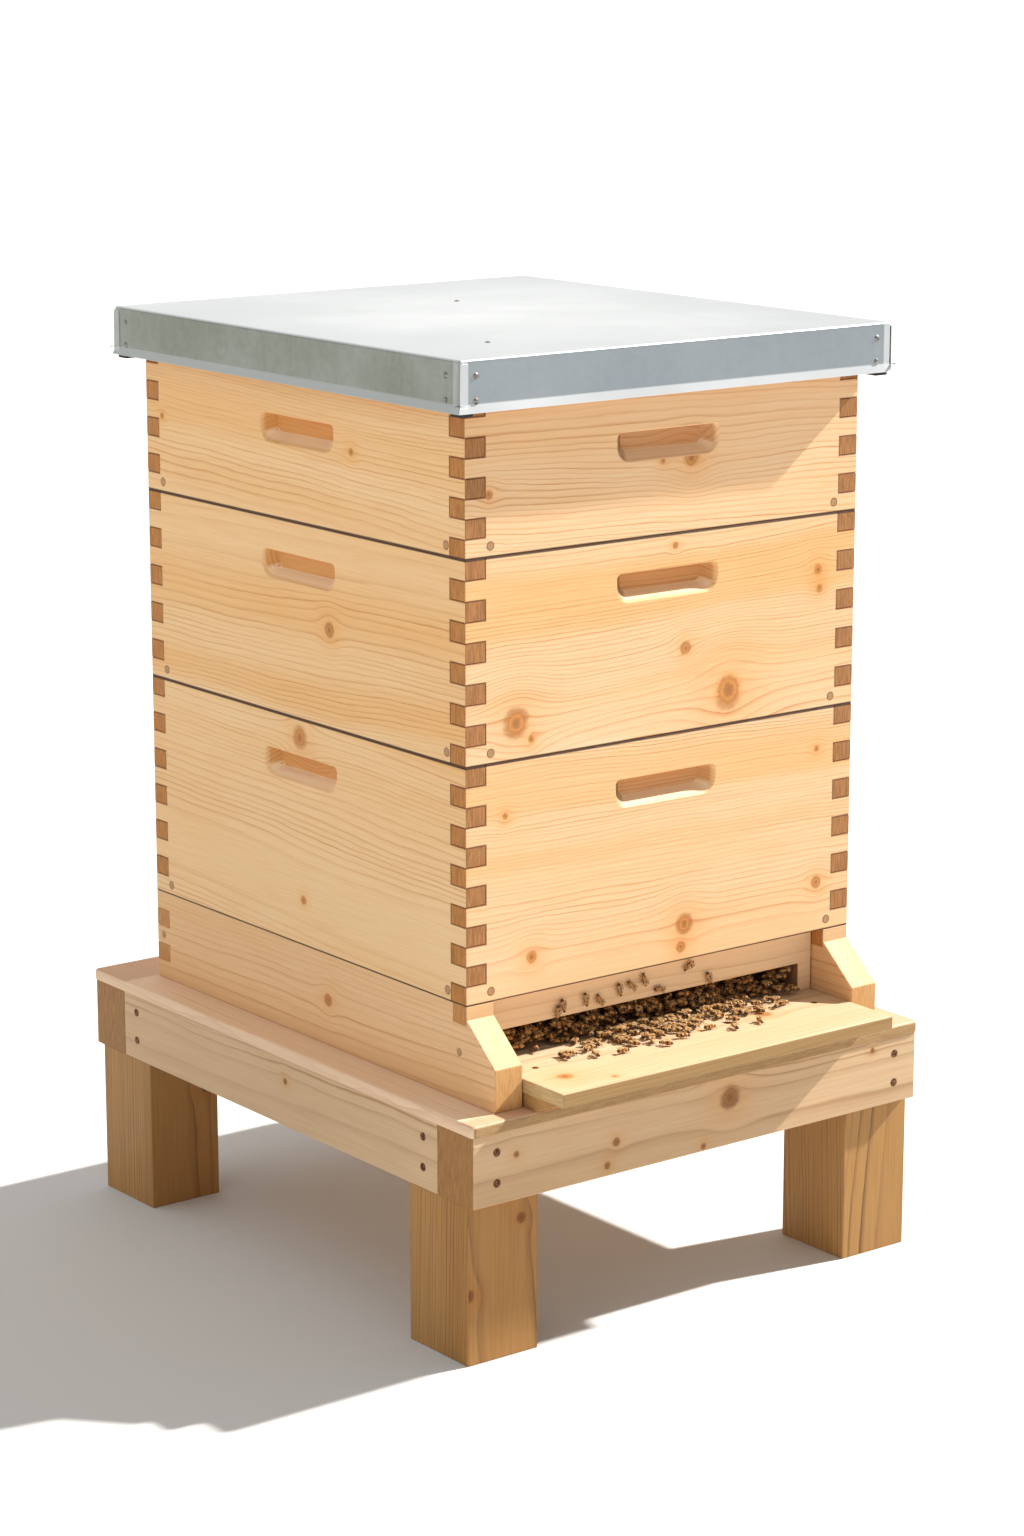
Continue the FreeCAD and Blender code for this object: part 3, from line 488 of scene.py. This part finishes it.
def round_edges(node, width):
    """Ease the sharp edges of a CAD node with modifiers, without touching its mesh."""
    thing = NODES[node]
    weld = thing.modifiers.new("weld", "WELD")
    weld.merge_threshold = WELD_GAP
    flat = thing.modifiers.new("flat", "DECIMATE")
    flat.decimate_type = "DISSOLVE"
    flat.angle_limit = FLAT_ANGLE
    bevel = thing.modifiers.new("ease", "BEVEL")
    bevel.width = width
    bevel.segments = 2
    bevel.limit_method = "ANGLE"
    bevel.angle_limit = SHARP_ANGLE
    bevel.use_clamp_overlap = False
    bevel.loop_slide = False


def middle(node):
    """The middle of a CAD node's box."""
    low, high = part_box(node)
    return (low + high) / 2


# ---- Boxes ----
BOXES = ("lower", "middle", "super")
HIVE_SHIFT = middle("lower_left_board").y    # the hive stands behind the origin
# Per board: (along from its middle, up from the ground, radius), all in metres.
BOARD_KNOTS = {
    "super_front_board": ((0.024, 0.711, 0.0080), (-0.006, 0.711, 0.0028), (-0.183, 0.700, 0.0035)),
    "middle_front_board": ((-0.156, 0.513, 0.0115), (0.067, 0.512, 0.0145), (0.020, 0.553, 0.0052),
                           (0.165, 0.603, 0.0046), (0.167, 0.5875, 0.0038), (-0.141, 0.498, 0.0030),
                           (0.008, 0.640, 0.0025)),
    "lower_front_board": ((-0.140, 0.3165, 0.0060), (0.0215, 0.3175, 0.0080), (0.018, 0.298, 0.0044),
                          (0.169, 0.330, 0.0048), (0.167, 0.448, 0.0032), (-0.167, 0.4385, 0.0030)),
    "middle_left_board": ((-0.045, 0.566, 0.0058),),
    "lower_left_board": ((0.0005, 0.467, 0.0090), (-0.002, 0.326, 0.0035)),
    "super_left_board": ((-0.0785, 0.718, 0.0035), (0.207, 0.717, 0.0028)),
    "super_right_board": ((0.060, 0.700, 0.0065), (-0.150, 0.680, 0.0040)),
    "middle_right_board": ((-0.090, 0.530, 0.0090), (0.130, 0.600, 0.0050)),
    "lower_right_board": ((0.090, 0.330, 0.0080), (-0.060, 0.440, 0.0045), (-0.170, 0.360, 0.0040)),
    "super_rear_board": ((-0.070, 0.690, 0.0065),),
    "middle_rear_board": ((0.110, 0.540, 0.0090), (-0.120, 0.600, 0.0045)),
    "lower_rear_board": ((-0.050, 0.340, 0.0085), (0.130, 0.420, 0.0050), (0.020, 0.455, 0.0035)),
}
HOLD_DROPS = {"lower": 0.044, "middle": 0.040, "super": 0.053}   # hold's middle below the box's top
# Per board: the log's heart above the board's middle, its distance behind the face, ring pitch, slope.
BOARD_CUTS = {
    "super_front_board": (0.085, 0.075, 0.0040, 0.030),
    "middle_front_board": (-0.120, 0.070, 0.0037, -0.020),
    "lower_front_board": (-0.105, 0.075, 0.0037, 0.010),
    "super_left_board": (-0.085, 0.060, 0.0040, -0.020),
    "middle_left_board": (0.055, 0.070, 0.0042, 0.025),
    "lower_left_board": (-0.050, 0.080, 0.0044, -0.030),
    "super_right_board": (0.050, 0.070, 0.0042, 0.020),
    "middle_right_board": (-0.050, 0.080, 0.0044, 0.015),
    "lower_right_board": (0.030, 0.085, 0.0044, -0.025),
    "super_rear_board": (0.040, 0.075, 0.0042, 0.030),
    "middle_rear_board": (0.040, 0.080, 0.0044, -0.020),
    "lower_rear_board": (-0.045, 0.085, 0.0043, 0.020),
}
for index, (node, (heart_up, behind, pitch, slope)) in enumerate(BOARD_CUTS.items()):
    box, side, _ = node.split("_")
    low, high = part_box(node)
    centre = (low + high) / 2
    lengthwise, thick, tone = (X, Y, "box_front") if side in ("front", "rear") else (Y, X, "box_side")
    outer = side in ("rear", "right")
    inward = -1.0 if outer else 1.0
    shift = HIVE_SHIFT if lengthwise == Y else 0.0
    knots = [(along + shift, up, radius) for along, up, radius in BOARD_KNOTS[node]]
    heart = (centre.z + heart_up, centre[thick] + inward * behind)
    hold = (centre[lengthwise], (high if outer else low)[thick], inward, high.z - HOLD_DROPS[box],
            (high - low)[lengthwise] / 2)
    # The super's boards get a band of painted shade under the cover's skirt.
    dress(node, pine(node, tone, lengthwise, Z, 11.0 + index * 5.7, heart, pitch, slope, knots,
                     seams=(low.z, high.z), hold=hold, stain=high.z if box == "super" else 0.0))
    round_edges(node, EASE)

# ---- Everything else of wood ----
# Tone, axis of the grain, axis across the wide face, log's heart off the piece's middle, ring pitch,
# slope, and knots as (along, across, radius) from the origin.
WOODEN = {
    "base_rail_left": ("cheek", Y, Z, (-0.05, 0.07), 0.0042, 0.02, ((-0.037 + HIVE_SHIFT, 0.246, 0.0048),)),
    "base_rail_right": ("cheek", Y, Z, (0.04, -0.07), 0.0042, -0.02, ((0.080 + HIVE_SHIFT, 0.250, 0.0040),)),
    "base_rear_board": ("base", X, Z, (0.03, -0.07), 0.0042, 0.02, ((0.090, 0.240, 0.0050),)),
    "base_corner_keys": ("base", X, Z, (0.0, 0.05), 0.0030, 0.0, ()),
    "entrance_block": ("strip", X, Z, (0.02, 0.06), 0.0030, 0.01, ()),
    "landing_board": ("landing", X, Y, (0.02, -0.06), 0.0048, 0.03,
                      ((-0.147, -0.268, 0.0075), (-0.115, -0.292, 0.0030), (0.094, -0.234, 0.0065))),
    "landing_board_bearer": ("bearer", X, Y, (0.02, -0.05), 0.0045, 0.0, ()),
    "floor_panel": ("deck", Y, X, (0.05, -0.07), 0.0050, 0.0, ()),
    "deck_board": ("deck", Y, X, (0.10, -0.12), 0.0050, 0.01, ()),
    "stand_rail_front": ("rail", X, Z, (-0.03, 0.10), 0.0048, 0.02,
                         ((0.0285, 0.178, 0.0095), (-0.0935, 0.1635, 0.0035), (-0.103, 0.145, 0.0035),
                          (0.000, 0.1405, 0.0030), (0.190, 0.188, 0.0022), (-0.1965, 0.1745, 0.0028))),
    "stand_rail_rear": ("rail", X, Z, (0.02, -0.10), 0.0048, -0.02, ((0.060, 0.170, 0.0080),)),
    "stand_rail_left": ("rail", Y, Z, (-0.04, 0.10), 0.0050, 0.02, ((-0.020 + HIVE_SHIFT, 0.176, 0.0030),)),
    "stand_rail_right": ("rail", Y, Z, (0.03, -0.10), 0.0050, 0.02, ((0.100 + HIVE_SHIFT, 0.160, 0.0060),)),
    "leg_front_left": ("leg", Z, X, (0.01, 0.10), 0.0046, 0.10,
                       ((0.116, -0.185, 0.0045), (0.060, -0.238, 0.0060),
                        (0.095, -0.285, 0.0050, X), (0.020, -0.262, 0.0035, X))),
    "leg_front_right": ("leg", Z, X, (0.02, 0.10), 0.0046, -0.08, ()),
    "leg_rear_left": ("leg", Z, X, (-0.02, 0.10), 0.0046, 0.06, ((0.105, -0.180, 0.0050),)),
    "leg_rear_right": ("leg", Z, X, (0.0, -0.10), 0.0046, 0.08, ((0.070, 0.200, 0.0050),)),
    "inner_cover_panel": ("cover", Y, X, (0.06, -0.08), 0.0050, 0.0, ()),
    "inner_cover_end_battens": ("cover", X, Z, (0.02, 0.08), 0.0045, 0.0, ()),
    "inner_cover_side_battens": ("cover", Y, Z, (0.02, 0.08), 0.0045, 0.0, ()),
    "cover_end_rims": ("cover", X, Z, (0.02, 0.08), 0.0045, 0.0, ()),
    "cover_side_rims": ("cover", Y, Z, (0.02, 0.08), 0.0045, 0.0, ()),
    "cover_planks": ("cover", X, Y, (0.05, -0.08), 0.0050, 0.02, ()),
}
for box in BOXES:
    WOODEN[box + "_top_bars"] = ("frame", Y, X, (0.04, -0.08), 0.0040, 0.01, ())
    WOODEN[box + "_bottom_bars"] = ("frame", Y, X, (0.03, -0.08), 0.0040, 0.01, ())
    WOODEN[box + "_end_bars"] = ("frame", Z, X, (0.03, 0.08), 0.0040, 0.05, ())
for index, (node, (tone, along, across, heart, pitch, slope, knots)) in enumerate(WOODEN.items()):
    centre = middle(node)
    deep = X + Y + Z - along - across
    core = (centre[across] + heart[0], centre[deep] + heart[1])
    dress(node, pine(node, tone, along, across, 90.0 + index * 3.9, core, pitch, slope, knots,
                     contrast=1.25 if tone in ("rail", "leg") else 1.0,
                     shade_front_edge=node == "landing_board", shade_open_deck=node == "deck_board"))
    round_edges(node, EASE_FINE if tone == "frame" else EASE)

# ---- Sheet, fasteners, pads, combs ----
COATED = (
    (galvanised("galvanised_sheet"), ("cover_sheet",)),
    (worn_metal("cover_nails", (0.32, 0.32, 0.31), (0.11, 0.10, 0.09), 0.34), ("cover_nails",)),
    (worn_metal("stand_screws", (0.27, 0.125, 0.058), (0.085, 0.036, 0.016), 0.55),
     ("stand_screws", "deck_nails", "landing_board_nails")),
    (plug_wood("corner_plugs"), (*(box + "_corner_plugs" for box in BOXES), "base_plugs")),
    (worn_metal("frame_rests", (0.52, 0.52, 0.51), (0.36, 0.35, 0.33), 0.38),
     [box + "_frame_rests" for box in BOXES]),
    (comb_wax("comb_wax"), [box + "_combs" for box in BOXES]),
    (rubber("cover_pads"), ("cover_pads",)),
)
for coat, nodes in COATED:
    for node in nodes:
        dress(node, coat)
round_edges("cover_sheet", EASE_SHEET)
round_edges("cover_pads", EASE)


def add_mesh(name, vertices, faces):
    """A new object in the scene, with its own mesh."""
    mesh = bpy.data.meshes.new(name)
    mesh.from_pydata(vertices, [], faces)
    thing = bpy.data.objects.new(name, mesh)
    bpy.context.scene.collection.objects.link(thing)
    return thing


# ---- Bees at the entrance ----
FUZZ, AMBER, DARK, WING = 0, 1, 2, 3
# A bee stands on Z = 0 with its nose along +X. Its parts: middle along X, up, length, radius, coats.
BEE_PARTS = ((-0.0035, 0.0027, 0.0078, 0.0021, (AMBER, AMBER, DARK, AMBER, DARK, DARK)),
             (0.0014, 0.0030, 0.0042, 0.0019, (FUZZ, FUZZ, FUZZ, FUZZ)),
             (0.0042, 0.0026, 0.0022, 0.0013, (DARK, DARK, DARK)))
BEE_WING = ((0.0012, 0.0009, 0.0047), (-0.0018, 0.0025, 0.0050), (-0.0052, 0.0030, 0.0046),
            (-0.0063, 0.0021, 0.0045), (-0.0038, 0.0006, 0.0049))
BEE_LEGS = ((0.0026, 0.0044), (0.0014, 0.0010), (0.0002, -0.0036))    # root and foot along X
LEG_HALF, LEG_OUT, LEG_LOW, LEG_HIGH, FOOT_OUT = 0.0003, 0.0010, 0.0022, 0.0028, 0.0042


def bee_coat(name, base, stain, rough):
    """Short hair or shell, mottled at the scale of a bee."""
    material, g, shader = new_material(name)
    place = g.node("ShaderNodeTexCoord").outputs["Object"]
    mottle = g.noise(place, scale=900.0, detail=2.0)
    g.feed(shader.inputs["Base Color"], g.mix(g.step(mottle, 0.35, 0.65), base, stain))
    g.feed(shader.inputs["Roughness"], g.add(rough, g.mul(mottle, 0.2)))
    bump = g.node("ShaderNodeBump", {"Height": mottle, "Strength": 0.5, "Distance": 0.0003})
    g.feed(shader.inputs["Normal"], bump.outputs[0])
    return material


BEE_COATS = (bee_coat("bee_fuzz", (0.62, 0.34, 0.115), (0.36, 0.180, 0.056), 0.75),
             bee_coat("bee_amber", (0.78, 0.42, 0.120), (0.54, 0.250, 0.058), 0.38),
             bee_coat("bee_dark", (0.055, 0.027, 0.012), (0.130, 0.068, 0.028), 0.35),
             bee_coat("bee_wing", (0.52, 0.335, 0.160), (0.33, 0.190, 0.080), 0.22))


class Swarm:
    """Bees gathered into one mesh, each made of rounded body parts, wings and legs."""

    SIDES = 6

    def __init__(self):
        self.vertices, self.faces, self.coats = [], [], []

    def face(self, corners, coat):
        self.faces.append(corners)
        self.coats.append(coat)

    def add_points(self, place, points):
        """Vertices at points given in the bee's own frame; returns the first one's number."""
        first = len(self.vertices)
        self.vertices.extend(place @ Vector(point) for point in points)
        return first

    def blob(self, place, forward, up, length, radius, coats):
        """A rounded body part along X, with one ring of faces for each coat."""
        rings = len(coats)
        first = self.add_points(place, ((forward + length / 2, 0, up),))
        for ring in range(1, rings):
            turn = math.pi * ring / rings
            along, out = forward + length / 2 * math.cos(turn), radius * math.sin(turn)
            spins = [math.tau * side / self.SIDES for side in range(self.SIDES)]
            self.add_points(place, [(along, out * math.cos(s), up + out * math.sin(s)) for s in spins])
        last = self.add_points(place, ((forward - length / 2, 0, up),))
        for side in range(self.SIDES):
            here, after = first + 1 + side, first + 1 + (side + 1) % self.SIDES
            self.face((first, here, after), coats[0])
            for ring in range(rings - 2):
                a, b = here + ring * self.SIDES, after + ring * self.SIDES
                self.face((a, a + self.SIDES, b + self.SIDES, b), coats[ring + 1])
            tail = (rings - 2) * self.SIDES
            self.face((after + tail, here + tail, last), coats[-1])

    def bee(self, place):
        """One whole bee, moved to a place."""
        for part in BEE_PARTS:
            self.blob(place, *part)
        for side in (1, -1):
            first = self.add_points(place, [(x, y * side, z) for x, y, z in BEE_WING])
            self.face(tuple(range(first, first + len(BEE_WING))), WING)
            for root, foot in BEE_LEGS:
                first = self.add_points(place, ((root + LEG_HALF, LEG_OUT * side, LEG_LOW),
                                                (root - LEG_HALF, LEG_OUT * side, LEG_LOW),
                                                (root, LEG_OUT * side, LEG_HIGH),
                                                (foot, FOOT_OUT * side, 0.0)))
                for a, b in ((0, 1), (1, 2), (2, 0)):
                    self.face((first + a, first + b, first + 3), DARK)

    def settle(self, name, body):
        """Make the mesh, and let it ride on a body."""
        thing = add_mesh(name, self.vertices, self.faces)
        for coat in BEE_COATS:
            thing.data.materials.append(coat)
        thing.data.polygons.foreach_set("material_index", self.coats)
        thing.data.polygons.foreach_set("use_smooth", [coat != WING for coat in self.coats])
        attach(thing, body)


dice = random.Random(11)
block_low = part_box("entrance_block")[0]
board_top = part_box("landing_board")[1].z
OPENING_HALF = 0.155      # half of the entrance's width, clear of its ends
CLUSTER_BEES, CLUSTER_IN, CLUSTER_TALL = 280, (0.002, 0.020), 0.0185
SPILL_BEES, SPILL_MIDDLE, SPILL_ALONG, SPILL_OUT = 120, 0.012, 0.058, 0.017
PILED = 0.012             # nearer the entrance than this, spilling bees climb on each other
# Bees by themselves on the landing board: (along, out from the entrance block).
LONE_BEES = ((-0.118, 0.030), (-0.094, 0.040), (-0.088, 0.022), (-0.070, 0.048), (-0.052, 0.036),
             (-0.030, 0.052), (-0.004, 0.046), (0.030, 0.040), (0.058, 0.034), (0.082, 0.026))
# Bees on the front of the entrance block: (along, above its lower edge).
CLIMBERS = ((-0.098, 0.034), (-0.074, 0.035), (-0.060, 0.034), (-0.038, 0.037), (-0.026, 0.040),
            (-0.012, 0.043), (0.036, 0.045), (-0.104, 0.029), (0.004, 0.031), (0.060, 0.030))


def any_way():
    """A random heading."""
    return dice.uniform(0, math.tau)


def bee_place(x, y, z, turn, pitch=0.0, roll=0.0):
    """Where a bee stands and how it is turned, as a matrix."""
    return Matrix.Translation((x, y, z)) @ Euler((roll, pitch, turn)).to_matrix().to_4x4()


# A cluster fills the entrance, and spills on to the landing board in its middle.
crowd = Swarm()
for index in range(CLUSTER_BEES):
    x = dice.uniform(-OPENING_HALF, OPENING_HALF)
    y = block_low.y + dice.uniform(*CLUSTER_IN)
    z = board_top + dice.uniform(0.0, CLUSTER_TALL)
    crowd.bee(bee_place(x, y, z, any_way(), dice.uniform(-0.5, 0.5), dice.uniform(-0.6, 0.6)))
for index in range(SPILL_BEES):
    x = max(-OPENING_HALF, min(OPENING_HALF, dice.gauss(SPILL_MIDDLE, SPILL_ALONG)))
    out = abs(dice.gauss(0.0, SPILL_OUT))
    z = board_top + (dice.uniform(0.0, 0.004) if out < PILED else 0.0)
    crowd.bee(bee_place(x, block_low.y - out, z, any_way(), dice.uniform(-0.15, 0.15)))
for x, out in LONE_BEES:
    crowd.bee(bee_place(x, block_low.y - out, board_top, any_way()))
crowd.settle("bees_on_floor", "floor")

climbers = Swarm()
on_its_face = Matrix.Rotation(math.radians(90), 4, "X")
for x, up in CLIMBERS:
    spot = Matrix.Translation((x, block_low.y, block_low.z + up))
    climbers.bee(spot @ on_its_face @ Matrix.Rotation(any_way(), 4, "Z"))
climbers.settle("bees_on_entrance_block", "entrance")

# ---- Stage, light and camera ----
FLOOR_HALF = 40.0
FLOOR_GREY = (0.62, 0.62, 0.61, 1.0)
SUN_FROM = Vector((0.78, -0.142, 0.61))    # fitted to the shadows of the cover and the landing board
SUN_STRENGTH = 8.3
SUN_WIDTH = math.radians(1.6)
SUN_COLOUR = (1.0, 0.968, 0.925)
SKY_BRIGHT_TOWARD = (-0.25, 0.75, 0.61)
SKY_DIM, SKY_BRIGHT = (0.12, 0.121, 0.123), (0.88, 0.876, 0.868)

corners = [(-FLOOR_HALF, -FLOOR_HALF, 0), (FLOOR_HALF, -FLOOR_HALF, 0), (FLOOR_HALF, FLOOR_HALF, 0),
           (-FLOOR_HALF, FLOOR_HALF, 0)]
floor = add_mesh("studio_floor", corners, [(0, 1, 2, 3)])
floor_paint, g, shader = new_material("studio_floor")
shader.inputs["Base Color"].default_value = FLOOR_GREY
shader.inputs["Roughness"].default_value = 0.9
floor.data.materials.append(floor_paint)

sun_data = bpy.data.lights.new("key", "SUN")
sun_data.energy = SUN_STRENGTH
sun_data.angle = SUN_WIDTH
sun_data.color = SUN_COLOUR
sun = bpy.data.objects.new("key", sun_data)
sun.rotation_euler = SUN_FROM.to_track_quat("Z", "Y").to_euler()
bpy.context.scene.collection.objects.link(sun)

world = bpy.data.worlds.new("studio")
bpy.context.scene.world = world
world.use_nodes = True
g = Graph(world.node_tree)
direction = g.node("ShaderNodeTexCoord").outputs["Generated"]
toward = g.node("ShaderNodeVectorMath", {0: direction, 1: SKY_BRIGHT_TOWARD}, operation="DOT_PRODUCT")
glow = g.step(toward.outputs["Value"], -0.9, 0.9)
g.feed(world.node_tree.nodes["Background"].inputs["Color"], g.mix(glow, SKY_DIM, SKY_BRIGHT))

camera_data = bpy.data.cameras.new("photo_view")
camera_data.sensor_fit = "HORIZONTAL"
camera_data.sensor_width = SENSOR
camera_data.lens = LENS
camera_data.clip_end = 200.0
camera = bpy.data.objects.new("photo_view", camera_data)
camera.location = CAMERA_PLACE
camera.rotation_euler = (math.radians(90 - CAMERA_DOWN), 0.0, math.radians(CAMERA_TURN))
bpy.context.scene.collection.objects.link(camera)
bpy.context.scene.camera = camera
bpy.context.scene.view_settings.view_transform = "Standard"
